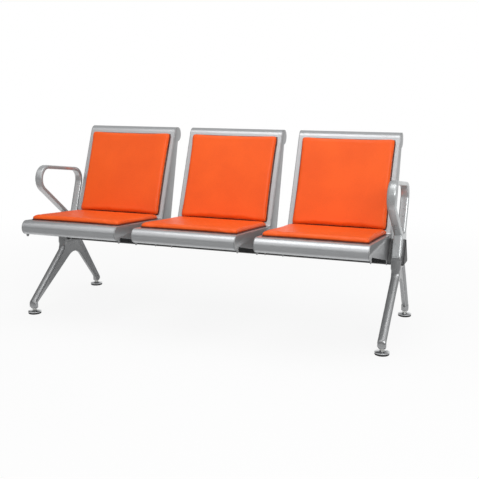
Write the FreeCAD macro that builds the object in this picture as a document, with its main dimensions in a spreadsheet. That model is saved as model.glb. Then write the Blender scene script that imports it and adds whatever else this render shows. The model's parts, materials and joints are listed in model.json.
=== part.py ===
import FreeCAD, Part
import math
import os
import re
import Sketcher

# Three-seat beam bench: X runs along the row, Y from front to back, Z up from the floor.
# The origin is on the floor under the middle of the bench's box.
SIZES = {
    # row of seats
    "seat_pitch": 515,
    "seat_width": 440,
    "support_gap": 37.5,
    # bent seat sheet, side view: the seat and the back meet in a corner on their upper faces
    "sheet_thick": 2,
    "corner_behind": 98.3,
    "corner_high": 399.1,
    "bend_radius": 12,
    "seat_slope": 5.2,
    "seat_length": 405.8,
    "roll_radius": 29.5,
    "roll_lip": 24,
    "back_recline": 22.3,
    "back_length": 411.6,
    "curl_radius": 32,
    "curl_turn": 205,
    # side plates
    "plate_thick": 4,
    "fin_root": 79,
    "foot_front": 56,
    "foot_rise": 20,
    "tab_wide": 26,
    "tab_thick": 8,
    "lug_radius": 8,
    "lug_drop": 34,
    "lug_behind": 9,
    "ear_turn": 94,
    # triangular beam
    "beam_behind": 87,
    "beam_base": 287,
    "beam_width": 106,
    "beam_height": 105,
    "beam_wall": 2.5,
    "beam_round": 5,
    "beam_overhang": 24.5,
    "cap_thick": 3,
    "cap_plug": 18,
    "fit_gap": 0.2,
    # clamps under the beam
    "clamp_reach": 20,
    "clamp_thick": 5,
    "clamp_bolt": 8,
    "clamp_bolt_head": 13,
    "clamp_head_high": 5,
    "hole_play": 0.4,
    "hole_spare": 2,
    "thread_play": 0.1,
    # upholstered pads
    "seat_pad_width": 416,
    "seat_pad_length": 376,
    "seat_pad_gap": 9,
    "back_pad_width": 403,
    "back_pad_length": 388,
    "back_pad_gap": 15,
    "pad_thick": 22,
    "pad_corner": 14,
    "pad_tuck": 3,
    "pad_side_low": 5.8,
    "pad_side_high": 13.4,
    "pad_shoulder": 6,
    "pad_shoulder_high": 18.5,
    "pad_slope": 18,
    "pad_slope_high": 20.7,
    "pad_crown": 70,
    "pad_draw": 2.5,
    "pad_draw_radius": 3000,
    "soft_gap": 0.3,
    "board_inset": 9,
    "board_thick": 6,
    "screw_inset": 60,
    "screw_width": 4.8,
    "screw_bite": 5,
    "screw_head": 10,
    "screw_head_high": 2.5,
    # armrests
    "arm_bar_wide": 36,
    "arm_bar_deep": 17,
    "arm_bar_round": 7,
    "arm_block_wide": 37,
    "arm_block_top": 121,
    "arm_block_front": 47,
    "arm_block_rear": 59,
    "arm_shoulder": 41,
    "arm_block_round": 5,
    "arm_rear_root": 40,
    "arm_rear_root_high": 89,
    "arm_stub": 15,
    "arm_rear_corner": 116.5,
    "arm_rear_high": 309,
    "arm_front_corner": 368,
    "arm_front_high": 376.3,
    "arm_front_root": 15,
    "arm_front_root_high": 112,
    "arm_round": 52,
    "arm_stub_round": 40,
    # legs
    "foot_middle": 44,
    "foot_spread": 534,
    "head_reach": 75,
    "head_wide": 40,
    "head_thick": 14,
    "saddle_high": 35,
    "neck_drop": 37,
    "neck_round": 30,
    "web_thick": 14,
    "shin_wide": 35,
    "calf_wide": 30,
    "bead_deep": 12,
    "bead_round": 5.5,
    "bead_drop": 3,
    "shin_high": 56,
    "ankle_high": 42,
    "ankle_round": 16,
    "crotch_behind": 37,
    "crotch_high": 237,
    "crotch_round": 80,
    "spigot_radius": 16,
    "spigot_high": 30,
    "spigot_top": 50,
    "arm_bolt": 6,
    "arm_bolt_head": 10,
    "arm_bolt_head_high": 4,
    "arm_bolt_reach": 57.6,
    "arm_bolt_across": 12.6,
    "arm_bolt_bite": 12,
    # levelling feet
    "rubber_wide": 56,
    "rubber_high": 9,
    "rubber_edge": 1,
    "cup_wide": 58,
    "cup_rim_low": 8,
    "cup_rim_high": 10.5,
    "cup_crown": 26,
    "cup_high": 15,
    "stud_wide": 10,
    "stud_disc": 14,
    "stud_disc_high": 4,
    "stud_grip": 30,
    "hex_flats": 17,
    "hex_turn": 15,
    "hex_high": 3.2,
    "nut_high": 5.4,
    "nut_gap": 0.3,
    "run_play": 0.05,
}

FEET = {"front": -1, "rear": 1}
SIDES = {"left": -1, "right": 1}
SEATS = (1, 2, 3)
MIDDLE_SEAT = 2

document = FreeCAD.newDocument("waiting_bench")
sheet = document.addObject("Spreadsheet::Sheet", "Sizes")
for row, (name, size) in enumerate(SIZES.items(), start=1):
    sheet.set(f"A{row}", name)
    sheet.set(f"B{row}", str(size))
    sheet.setAlias(f"B{row}", name)
document.recompute()

sub_parts = []


def bound(formula):
    """A formula of size names as an expression on the sheet."""
    return re.sub(r"[a-z_]+", lambda word: "Sizes." + word[0] if word[0] in SIZES else word[0], formula)


def value(formula):
    return float(sheet.evalExpression(bound(formula)))


def bind(item, name, formula):
    item.setExpression(name, bound(formula))


def shifted(point, distance, angle):
    """The point at a distance from another, at an angle from +Y in the side view."""
    return (f"{point[0]} + ({distance}) * cos({angle})", f"{point[1]} + ({distance}) * sin({angle})")


def new_body(label, across="0", exported=True):
    body = document.addObject("PartDesign::Body", label)
    body.Label = label
    body.AllowCompound = True
    bind(body, "Placement.Base.x", across)
    if exported:
        sub_parts.append(body)
    return body


def new_sketch(body, name, plane, lift="0"):
    """A sketch on one of the body's own planes, lifted along that plane's normal."""
    sketch = body.newObject("Sketcher::SketchObject", name)
    base = next(item for item in body.Origin.OriginFeatures if item.Role == plane)
    sketch.AttachmentSupport = [(base, "")]
    sketch.MapMode = "FlatFace"
    bind(sketch, "AttachmentOffset.Base.z", lift)
    return sketch


def constrain(sketch, rules):
    """Add the constraints, and bind each one that has a formula."""
    numbers = sketch.addConstraint([rule[0] for rule in rules])
    for number, (_, formula) in zip(numbers, rules):
        if formula:
            bind(sketch, f"Constraints[{number}]", formula)


def place_rules(geometry, end, point):
    """Hold one end of a piece of a sketch at a point given by two formulas."""
    across = Sketcher.Constraint("DistanceX", -1, 1, geometry, end, value(point[0]))
    up = Sketcher.Constraint("DistanceY", -1, 1, geometry, end, value(point[1]))
    return [(across, point[0]), (up, point[1])]


def rounded_corner(before, corner, after, radius):
    """The ends and centre of the round between two sides, and whether it turns left."""
    inward = (corner - before).normalize()
    outward = (after - corner).normalize()
    reach = radius * math.tan(inward.getAngle(outward) / 2)
    left = inward.cross(outward).z > 0
    normal = FreeCAD.Vector(-inward.y, inward.x, 0) * (radius if left else -radius)
    first = corner - inward * reach
    return first, corner + outward * reach, first + normal, left


def arc_between(first, last, centre, left):
    """An arc from first to last; its ends are numbered 1 and 2 counter-clockwise."""
    circle = Part.Circle(centre, FreeCAD.Vector(0, 0, 1), (first - centre).Length)
    start, end = (first, last) if left else (last, first)
    return Part.ArcOfCircle(circle, circle.parameter(start), circle.parameter(end))


def draw_sides(sketch, corners, closed=True):
    """Straight sides through corners (across, up, radius), each rounded where it has a radius."""
    points = [FreeCAD.Vector(value(corner[0]), value(corner[1]), 0) for corner in corners]
    radii = [corner[2] if len(corner) > 2 else None for corner in corners]
    count = len(points)
    rounds = {}
    for index in range(count):
        if radii[index]:
            before, after = points[index - 1], points[(index + 1) % count]
            rounds[index] = rounded_corner(before, points[index], after, value(radii[index]))
    sides = {}
    for index in range(count if closed else count - 1):
        follower = (index + 1) % count
        start = rounds[index][1] if index in rounds else points[index]
        end = rounds[follower][0] if follower in rounds else points[follower]
        sides[index] = sketch.addGeometry(Part.LineSegment(start, end), False)
    rules = []
    for index in range(count):
        side = sides.get(index)
        previous = sides.get((index - 1) % count)
        if index not in rounds:
            geometry, end = (side, 1) if side is not None else (previous, 2)
            rules += place_rules(geometry, end, corners[index])
            if side is not None and previous is not None and (closed or index):
                rules.append((Sketcher.Constraint("Coincident", previous, 2, side, 1), None))
            continue
        first, last, centre, left = rounds[index]
        arc = sketch.addGeometry(arc_between(first, last, centre, left), False)
        mark = sketch.addGeometry(Part.Point(points[index]), True)
        near, far = (1, 2) if left else (2, 1)
        rules.append((Sketcher.Constraint("Tangent", previous, 2, arc, near), None))
        rules.append((Sketcher.Constraint("Tangent", arc, far, side, 1), None))
        rules.append((Sketcher.Constraint("Radius", arc, value(radii[index])), radii[index]))
        rules.append((Sketcher.Constraint("PointOnObject", mark, 1, previous), None))
        rules.append((Sketcher.Constraint("PointOnObject", mark, 1, side), None))
        rules += place_rules(mark, 1, corners[index])
    constrain(sketch, rules)


def draw_box(sketch, low, high, radius=None):
    """A rectangle between two corners given by formulas."""
    corners = [low, (high[0], low[1]), high, (low[0], high[1])]
    draw_sides(sketch, [(*corner, radius) for corner in corners])


def draw_circles(sketch, centres, radius):
    rules = []
    for centre in centres:
        middle = FreeCAD.Vector(value(centre[0]), value(centre[1]), 0)
        circle = Part.Circle(middle, FreeCAD.Vector(0, 0, 1), value(radius))
        number = sketch.addGeometry(circle, False)
        rules.append((Sketcher.Constraint("Radius", number, value(radius)), radius))
        rules += place_rules(number, 3, centre)
    constrain(sketch, rules)


def draw_hexagon(sketch, flats):
    """A hexagon about the origin, turned so that no corner lies on an axis."""
    reach = f"({flats}) / 2 / cos(30)"
    draw_sides(sketch, [shifted(("0", "0"), reach, f"hex_turn + {turn}") for turn in range(0, 360, 60)])


def pad(body, sketch, length, side="One side", backward=False):
    feature = body.newObject("PartDesign::Pad", "pad")
    feature.Profile = sketch
    feature.SideType = side
    feature.Reversed = backward
    bind(feature, "Length", length)
    return feature


def pocket(body, sketch, length, side="One side", backward=False):
    """Cut against the sketch's normal, or along it when backward."""
    feature = body.newObject("PartDesign::Pocket", "pocket")
    feature.Profile = sketch
    feature.SideType = side
    feature.Reversed = backward
    bind(feature, "Length", length)
    return feature


def turn_about_upright(body, corners):
    """A solid of revolution about the body's upright axis, from corners (radius, height)."""
    sketch = new_sketch(body, "half_section", "XZ_Plane")
    draw_sides(sketch, corners)
    feature = body.newObject("PartDesign::Revolution", "turned")
    feature.Profile = sketch
    feature.ReferenceAxis = (sketch, ["V_Axis"])
    feature.Angle = 360


def sweep(body, section, path):
    feature = body.newObject("PartDesign::AdditivePipe", "bar")
    feature.Profile = section
    feature.Spine = path
    return feature


def round_edges(body, feature, radius, chosen):
    """Round the edges of a feature that a test of their end points picks."""
    document.recompute()
    names = []
    for number, edge in enumerate(feature.Shape.Edges, start=1):
        if chosen([vertex.Point for vertex in edge.Vertexes]):
            names.append(f"Edge{number}")
    fillet = body.newObject("PartDesign::Fillet", "rounded")
    fillet.Base = (feature, names)
    bind(fillet, "Radius", radius)
    return fillet


# Side view of a seat
CORNER = ("corner_behind", "corner_high")
SEAT_WAY = "180 - seat_slope"
BACK_WAY = "90 - back_recline"
ROLL_TOP = shifted(CORNER, "seat_length", SEAT_WAY)
ROLL_CENTRE = shifted(ROLL_TOP, "-roll_radius", "90 - seat_slope")
CURL_START = shifted(CORNER, "back_length", BACK_WAY)
CURL_CENTRE = shifted(CURL_START, "curl_radius", "-back_recline")

# Side view of the beam
BEAM_SLANT = "sqrt(beam_width ^ 2 / 4 + beam_height ^ 2)"
FRONT_FOOT = "(foot_middle - foot_spread / 2)"
REAR_FOOT = "(foot_middle + foot_spread / 2)"
SUPPORT = "(seat_pitch + seat_width / 2 + support_gap)"
SPIGOT_LOW = "(cup_high + run_play + hex_high + nut_gap + nut_high)"


def beam_triangle(inset, radius=None):
    """The beam's section with each side moved in, apex upwards."""
    half = f"beam_width / 2 - ({inset}) * ({BEAM_SLANT} + beam_width / 2) / beam_height"
    apex = f"beam_base + beam_height - ({inset}) * {BEAM_SLANT} * 2 / beam_width"
    return [
        (f"beam_behind - ({half})", f"beam_base + ({inset})", radius),
        (f"beam_behind + ({half})", f"beam_base + ({inset})", radius),
        ("beam_behind", apex, radius),
    ]


def beam_notch():
    """Rear base corner, apex and front base corner of the opening that fits over the beam."""
    half = f"(beam_width / 2 + fit_gap * {BEAM_SLANT} / beam_height)"
    apex = f"beam_base + beam_height + fit_gap * {BEAM_SLANT} * 2 / beam_width"
    return [
        (f"beam_behind + {half}", "beam_base"),
        ("beam_behind", apex),
        (f"beam_behind - {half}", "beam_base"),
    ]


BEAM_HALF = f"({SUPPORT} + beam_overhang)"


def seat_middle(number):
    return f"{number - MIDDLE_SEAT} * seat_pitch"


def make_beam():
    """The beam, with threaded holes in its base for the front clamp bolts."""
    body = new_body("beam")
    sketch = new_sketch(body, "section", "YZ_Plane")
    draw_sides(sketch, beam_triangle("0", "beam_round"))
    draw_sides(sketch, beam_triangle("beam_wall", "beam_round - beam_wall"))
    pad(body, sketch, f"2 * {BEAM_HALF}", "Symmetric")
    places = []
    for number in SEATS:
        for sign in SIDES.values():
            across, along = clamp_bolt_places(sign)[0]
            places.append((f"{seat_middle(number)} + {across}", along))
    holes = new_sketch(body, "clamp_holes", "XY_Plane", "beam_base")
    draw_circles(holes, places, "(clamp_bolt + thread_play) / 2")
    pocket(body, holes, "beam_wall", backward=True)


def make_end_cap(side):
    body = new_body(f"beam_end_cap_{side}", f"{SIDES[side]} * {BEAM_HALF}")
    plate = new_sketch(body, "plate", "YZ_Plane")
    draw_sides(plate, beam_triangle("0", "beam_round"))
    pad(body, plate, "cap_thick", backward=side == "left")
    plug = new_sketch(body, "plug", "YZ_Plane")
    inset = "beam_wall + fit_gap"
    draw_sides(plug, beam_triangle(inset, f"beam_round - ({inset})"))
    pad(body, plug, "cap_plug", backward=side == "right")


def upright_bolts(label, across, places, width, head, head_high, base, length, exported=True):
    """Bolts that point up: heads below a face at the height base, shanks above it."""
    body = new_body(label, across, exported)
    shanks = new_sketch(body, "shanks", "XY_Plane", base)
    draw_circles(shanks, places, f"({width}) / 2")
    pad(body, shanks, length)
    heads = new_sketch(body, "heads", "XY_Plane", base)
    draw_circles(heads, places, f"({head}) / 2")
    pad(body, heads, head_high, backward=True)
    return body


def make_bead(body, corners, wide):
    """A rounded bead along an edge of the leg, down through the corners of its middle line."""
    path = new_sketch(body, "bead", "YZ_Plane")
    draw_sides(path, corners, closed=False)
    middle, top = corners[0]
    section = new_sketch(body, "bead_section", "XY_Plane", top)
    low = (f"-{wide} / 2", f"{middle} - bead_deep / 2")
    high = (f"{wide} / 2", f"{middle} + bead_deep / 2")
    draw_box(section, low, high, "bead_round")
    sweep(body, section, path)


def make_leg(side):
    body = new_body(f"leg_{side}", f"{SIDES[side]} * {SUPPORT}")
    head_front = "beam_behind - head_reach"
    head_rear = "beam_behind + head_reach"
    web = new_sketch(body, "web", "YZ_Plane")
    draw_sides(web, [
        (head_front, "beam_base"),
        (head_front, "beam_base - neck_drop", "neck_round"),
        (f"{FRONT_FOOT} - spigot_radius", "shin_high", "ankle_round"),
        (f"{FRONT_FOOT} - spigot_radius", "spigot_high"),
        (f"{FRONT_FOOT} + spigot_radius", "spigot_high"),
        (f"{FRONT_FOOT} + spigot_radius", "ankle_high"),
        ("beam_behind + crotch_behind", "crotch_high", "crotch_round"),
        (f"{REAR_FOOT} - spigot_radius", "ankle_high"),
        (f"{REAR_FOOT} - spigot_radius", "spigot_high"),
        (f"{REAR_FOOT} + spigot_radius", "spigot_high"),
        (f"{REAR_FOOT} + spigot_radius", "ankle_high"),
        (head_rear, "beam_base"),
    ])
    pad(body, web, "web_thick", "Symmetric")
    head = new_sketch(body, "head", "YZ_Plane")
    draw_box(head, (head_front, "beam_base - head_thick"), (head_rear, "beam_base + saddle_high"))
    pad(body, head, "head_wide", "Symmetric")
    spigots = new_sketch(body, "spigots", "XY_Plane", SPIGOT_LOW)
    draw_circles(spigots, [("0", FRONT_FOOT), ("0", REAR_FOOT)], "spigot_radius")
    pad(body, spigots, f"spigot_top - {SPIGOT_LOW}")

    front = f"{head_front} + bead_deep / 2"
    front_low = f"{FRONT_FOOT} - spigot_radius + bead_deep / 2"
    make_bead(body, [
        (front, "beam_base - bead_drop"),
        (front, "beam_base - neck_drop - bead_drop", "neck_round"),
        (front_low, "shin_high - bead_drop", "ankle_round"),
        (front_low, "spigot_high"),
    ], "shin_wide")
    rear = f"{head_rear} - bead_deep / 2"
    rear_low = f"{REAR_FOOT} + spigot_radius - bead_deep / 2"
    make_bead(body, [
        (rear, "beam_base - bead_drop"),
        (rear, "beam_base - head_thick", "bead_deep"),
        (rear_low, "ankle_high - bead_drop", "bead_deep"),
        (rear_low, "spigot_high"),
    ], "calf_wide")

    notch = new_sketch(body, "saddle", "YZ_Plane")
    draw_sides(notch, beam_notch())
    pocket(body, notch, "head_wide", "Symmetric")

    stud_holes = new_sketch(body, "stud_holes", "XY_Plane", SPIGOT_LOW)
    draw_circles(stud_holes, [("0", FRONT_FOOT), ("0", REAR_FOOT)], "stud_wide / 2 + run_play")
    pocket(body, stud_holes, "stud_grip + hole_spare", backward=True)
    bolt_holes = new_sketch(body, "bolt_holes", "XY_Plane", "beam_base + saddle_high")
    draw_circles(bolt_holes, arm_bolt_places(), "(arm_bolt + hole_play) / 2")
    pocket(body, bolt_holes, "head_thick + saddle_high")


def arm_bolt_places():
    places = []
    for across in ("-arm_bolt_across", "arm_bolt_across"):
        for reach in ("- arm_bolt_reach", "+ arm_bolt_reach"):
            places.append((across, f"beam_behind {reach}"))
    return places


def make_armrest(side):
    body = new_body(f"armrest_{side}", f"{SIDES[side]} * {SUPPORT}")
    block = new_sketch(body, "block", "YZ_Plane")
    draw_sides(block, [
        ("beam_behind - head_reach", "beam_base + saddle_high"),
        ("beam_behind + head_reach", "beam_base + saddle_high"),
        ("beam_behind + head_reach", "beam_base + arm_shoulder"),
        ("beam_behind + arm_block_rear", "beam_base + arm_block_top"),
        ("beam_behind - arm_block_front", "beam_base + arm_block_top"),
        ("beam_behind - head_reach", "beam_base + arm_shoulder"),
    ])
    solid = pad(body, block, "arm_block_wide", "Symmetric")
    half = value("arm_block_wide / 2")

    def steep(ends):
        """Whether an edge runs up a flank of the block."""
        return all(abs(end.x) > half - 1 for end in ends) and abs(ends[0].z - ends[1].z) > 1

    round_edges(body, solid, "arm_block_round", steep)
    notch = new_sketch(body, "notch", "YZ_Plane")
    draw_sides(notch, beam_notch())
    pocket(body, notch, "arm_block_wide", "Symmetric")
    holes = new_sketch(body, "bolt_holes", "XY_Plane", "beam_base + saddle_high")
    draw_circles(holes, arm_bolt_places(), "(arm_bolt + thread_play) / 2")
    pocket(body, holes, "arm_bolt_bite + hole_spare", backward=True)

    rear_root = "beam_behind + arm_rear_root"
    root_high = "beam_base + arm_rear_root_high"
    path = new_sketch(body, "loop", "YZ_Plane")
    draw_sides(path, [
        (rear_root, root_high),
        (rear_root, f"{root_high} + arm_stub", "arm_stub_round"),
        ("beam_behind + arm_rear_corner", "beam_base + arm_rear_high", "arm_round"),
        ("beam_behind - arm_front_corner", "beam_base + arm_front_high", "arm_round"),
        ("beam_behind - arm_front_root", "beam_base + arm_front_root_high"),
    ], closed=False)
    section = new_sketch(body, "bar_section", "XY_Plane", root_high)
    low_corner = ("-arm_bar_wide / 2", f"{rear_root} - arm_bar_deep / 2")
    high_corner = ("arm_bar_wide / 2", f"{rear_root} + arm_bar_deep / 2")
    draw_box(section, low_corner, high_corner, "arm_bar_round")
    sweep(body, section, path)


def make_armrest_bolts(side):
    upright_bolts(f"armrest_bolts_{side}", f"{SIDES[side]} * {SUPPORT}", arm_bolt_places(),
                  "arm_bolt", "arm_bolt_head", "arm_bolt_head_high",
                  "beam_base - head_thick", "head_thick + saddle_high + arm_bolt_bite")


def draw_run(sketch, start, steps):
    """An open run of lines (point) and arcs (point, centre, radius, turns left)."""
    rules = []
    here = FreeCAD.Vector(value(start[0]), value(start[1]), 0)
    ends = [start]
    previous = None
    for step in steps:
        there = FreeCAD.Vector(value(step[0][0]), value(step[0][1]), 0)
        near, far = 1, 2
        if len(step) == 1:
            number = sketch.addGeometry(Part.LineSegment(here, there), False)
        else:
            centre = FreeCAD.Vector(value(step[1][0]), value(step[1][1]), 0)
            number = sketch.addGeometry(arc_between(here, there, centre, step[3]), False)
            rules.append((Sketcher.Constraint("Radius", number, value(step[2])), step[2]))
            near, far = (1, 2) if step[3] else (2, 1)
        if previous:
            rules.append((Sketcher.Constraint("Coincident", *previous, number, near), None))
        rules += place_rules(number, near, ends[-1])
        previous = (number, far)
        here = there
        ends.append(step[0])
    rules += place_rules(*previous, ends[-1])
    constrain(sketch, rules)


# The pads' own frames lie on the sheet's upper face, in the middle of each pad.
PADS = {
    "seat": {
        "width": "seat_pad_width",
        "length": "seat_pad_length",
        "centre": shifted(CORNER, "seat_pad_gap + seat_pad_length / 2", SEAT_WAY),
        "axis": FreeCAD.Vector(-1, 0, 0),
        "angle": "seat_slope",
    },
    "back": {
        "width": "back_pad_width",
        "length": "back_pad_length",
        "centre": shifted(CORNER, "back_pad_gap + back_pad_length / 2", BACK_WAY),
        "axis": FreeCAD.Vector(1, 0, 0),
        "angle": "90 - back_recline",
    },
}

# Height above the sheet, and how far in from the pad's widest outline
PAD_LAYERS = (
    ("soft_gap", "pad_tuck"),
    ("pad_side_low", "0"),
    ("pad_side_high", "0"),
    ("pad_shoulder_high", "pad_shoulder"),
    ("pad_slope_high", "pad_slope"),
    ("pad_thick", "pad_crown"),
)


def tilt(item, name, frame, across):
    """Lay a body, or the offset of a sketch, on the sheet at a pad's middle."""
    turn = FreeCAD.Rotation(frame["axis"], value(frame["angle"]))
    setattr(item, name, FreeCAD.Placement(FreeCAD.Vector(), turn))
    bind(item, f"{name}.Base.x", across)
    bind(item, f"{name}.Base.y", frame["centre"][0])
    bind(item, f"{name}.Base.z", frame["centre"][1])
    bind(item, f"{name}.Rotation.Angle", frame["angle"])


def screw_places(frame):
    across = f"({frame['width']} / 2 - screw_inset)"
    along = f"({frame['length']} / 2 - screw_inset)"
    return [(f"{one} * {across}", f"{two} * {along}") for one in (-1, 1) for two in (-1, 1)]


def make_sheet(number, across):
    """The bent sheet: a rolled front edge, the seat, the back and a curled top edge."""
    body = new_body(f"seat_{number}_sheet", across)
    half = "sheet_thick / 2"
    bend = "bend_radius * tan((90 - back_recline + seat_slope) / 2)"
    bend_centre = shifted(shifted(CORNER, bend, SEAT_WAY), "bend_radius", "90 - seat_slope")
    roll = f"roll_radius - {half}"
    outside = f"bend_radius + {half}"
    curl = f"curl_radius - {half}"
    lip = (f"{ROLL_CENTRE[0]} + roll_lip", f"{ROLL_CENTRE[1]} - ({roll})")
    path = new_sketch(body, "side_view", "YZ_Plane")
    draw_run(path, lip, [
        (shifted(ROLL_CENTRE, roll, "-90"),),
        (shifted(ROLL_CENTRE, roll, "90 - seat_slope"), ROLL_CENTRE, roll, False),
        (shifted(bend_centre, outside, "-90 - seat_slope"),),
        (shifted(bend_centre, outside, "-back_recline"), bend_centre, outside, True),
        (shifted(CURL_CENTRE, curl, "180 - back_recline"),),
        (shifted(CURL_CENTRE, curl, "180 - back_recline - curl_turn"), CURL_CENTRE, curl, False),
    ])
    section = new_sketch(body, "section", "XZ_Plane", f"-({lip[0]})")
    reach = "(seat_width / 2 - plate_thick)"
    draw_box(section, (f"-{reach}", f"{lip[1]} - {half}"), (reach, f"{lip[1]} + {half}"))
    sweep(body, section, path)
    for name, frame in PADS.items():
        holes = new_sketch(body, f"{name}_screw_holes", "XY_Plane")
        tilt(holes, "AttachmentOffset", frame, "0")
        draw_circles(holes, screw_places(frame), "(screw_width + hole_play) / 2")
        pocket(body, holes, "2 * sheet_thick", "Symmetric")


def make_side_plate(number, across, side):
    """The plate that closes one side of the sheet and stands on the beam."""
    body = new_body(f"seat_{number}_side_plate_{side}", across)
    sign = SIDES[side]
    right = side == "right"
    outer = f"{sign} * seat_width / 2"
    inner = f"{sign} * (seat_width / 2 - plate_thick)"
    notch_rear, notch_top, notch_front = beam_notch()
    plate = new_sketch(body, "plate", "YZ_Plane", outer)
    draw_sides(plate, [
        ROLL_TOP,
        (*CORNER, "bend_radius"),
        CURL_START,
        CURL_CENTRE,
        shifted(CURL_CENTRE, "curl_radius", "-ear_turn"),
        ("beam_behind + fin_root", "beam_base"),
        notch_rear,
        notch_top,
        notch_front,
        ("beam_behind - foot_front", "beam_base"),
        ("beam_behind - foot_front", "beam_base + foot_rise"),
        shifted(ROLL_CENTRE, "roll_radius / 2", "-90"),
    ])
    pad(body, plate, "plate_thick", backward=right)
    lug = (f"{ROLL_CENTRE[0]} + lug_behind", f"{ROLL_CENTRE[1]} - lug_drop")
    for centre, radius in ((ROLL_CENTRE, "roll_radius"), (CURL_CENTRE, "curl_radius"), (lug, "lug_radius")):
        disc = new_sketch(body, "disc", "YZ_Plane", outer)
        draw_circles(disc, [centre], radius)
        pad(body, disc, "plate_thick", backward=right)
    tab = new_sketch(body, "tab", "YZ_Plane", inner)
    draw_box(tab, notch_rear, ("beam_behind + fin_root", "beam_base + tab_thick"))
    pad(body, tab, "tab_wide", backward=right)
    hole = new_sketch(body, "bolt_hole", "XY_Plane", "beam_base")
    draw_circles(hole, clamp_bolt_places(sign)[1:], "(clamp_bolt + thread_play) / 2")
    pocket(body, hole, "tab_thick", backward=True)


def clamp_bolt_places(sign):
    """A bolt into the beam, and one behind it into the tab of the side plate."""
    across = f"{sign} * (seat_width / 2 - plate_thick - tab_wide / 2)"
    return [(across, "beam_behind"), (across, f"(beam_behind + fin_root + {beam_notch()[0][0]}) / 2")]


def make_clamp(number, across, side):
    body = new_body(f"seat_{number}_clamp_{side}", across)
    sign = SIDES[side]
    bar = new_sketch(body, "bar", "XY_Plane", "beam_base")
    near = (f"{sign} * (seat_width / 2 - plate_thick - tab_wide)", "beam_behind - clamp_reach")
    far = (f"{sign} * (seat_width / 2 - plate_thick)", "beam_behind + fin_root")
    draw_box(bar, near, far)
    draw_circles(bar, clamp_bolt_places(sign), "(clamp_bolt + hole_play) / 2")
    pad(body, bar, "clamp_thick", backward=True)


def make_cushion(number, across, name):
    frame = PADS[name]
    body = new_body(f"seat_{number}_{name}_cushion")
    tilt(body, "Placement", frame, across)
    layers = []
    for height, inset in PAD_LAYERS:
        layer = new_sketch(body, "layer", "XY_Plane", height)
        wide = f"({frame['width']} / 2 - {inset})"
        long = f"({frame['length']} / 2 - {inset})"
        draw_sides(layer, [
            (f"-{wide}", f"-{long}", "pad_corner"),
            ("0", f"pad_draw - {long}", "pad_draw_radius"),
            (wide, f"-{long}", "pad_corner"),
            (f"{wide} - pad_draw", "0", "pad_draw_radius"),
            (wide, long, "pad_corner"),
            ("0", f"{long} - pad_draw", "pad_draw_radius"),
            (f"-{wide}", long, "pad_corner"),
            (f"pad_draw - {wide}", "0", "pad_draw_radius"),
        ])
        layers.append(layer)
    loft = body.newObject("PartDesign::AdditiveLoft", "stuffing")
    loft.Profile = layers[0]
    loft.Sections = layers[1:]
    loft.Ruled = True
    recess = new_sketch(body, "recess", "XY_Plane", "soft_gap")
    reach = [f"({frame[side]} / 2 - board_inset + soft_gap)" for side in ("width", "length")]
    draw_box(recess, (f"-{reach[0]}", f"-{reach[1]}"), reach, "pad_corner")
    pocket(body, recess, "board_thick", backward=True)


def make_board(number, across, name):
    frame = PADS[name]
    body = new_body(f"seat_{number}_{name}_board")
    tilt(body, "Placement", frame, across)
    board = new_sketch(body, "board", "XY_Plane")
    reach = [f"({frame[side]} / 2 - board_inset)" for side in ("width", "length")]
    draw_box(board, (f"-{reach[0]}", f"-{reach[1]}"), reach, "pad_corner")
    draw_circles(board, screw_places(frame), "(screw_width + thread_play) / 2")
    pad(body, board, "board_thick")


def make_screws(number, across):
    groups = []
    for name, frame in PADS.items():
        label = f"seat_{number}_{name}_screws"
        group = upright_bolts(label, "0", screw_places(frame),
                              "screw_width", "screw_head", "screw_head_high",
                              "-sheet_thick", "sheet_thick + screw_bite", exported=False)
        tilt(group, "Placement", frame, across)
        groups.append(group)
    both = document.addObject("Part::Compound", f"seat_{number}_cushion_screws")
    both.Label = f"seat_{number}_cushion_screws"
    both.Links = groups
    sub_parts.append(both)


def make_seat(number):
    across = seat_middle(number)
    make_sheet(number, across)
    clamp_places = []
    for side in SIDES:
        make_side_plate(number, across, side)
        make_clamp(number, across, side)
        clamp_places += clamp_bolt_places(SIDES[side])
    upright_bolts(f"seat_{number}_clamp_bolts", across, clamp_places,
                  "clamp_bolt", "clamp_bolt_head", "clamp_head_high",
                  "beam_base - clamp_thick", "clamp_thick + tab_thick")
    for name in PADS:
        make_cushion(number, across, name)
        make_board(number, across, name)
    make_screws(number, across)


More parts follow.
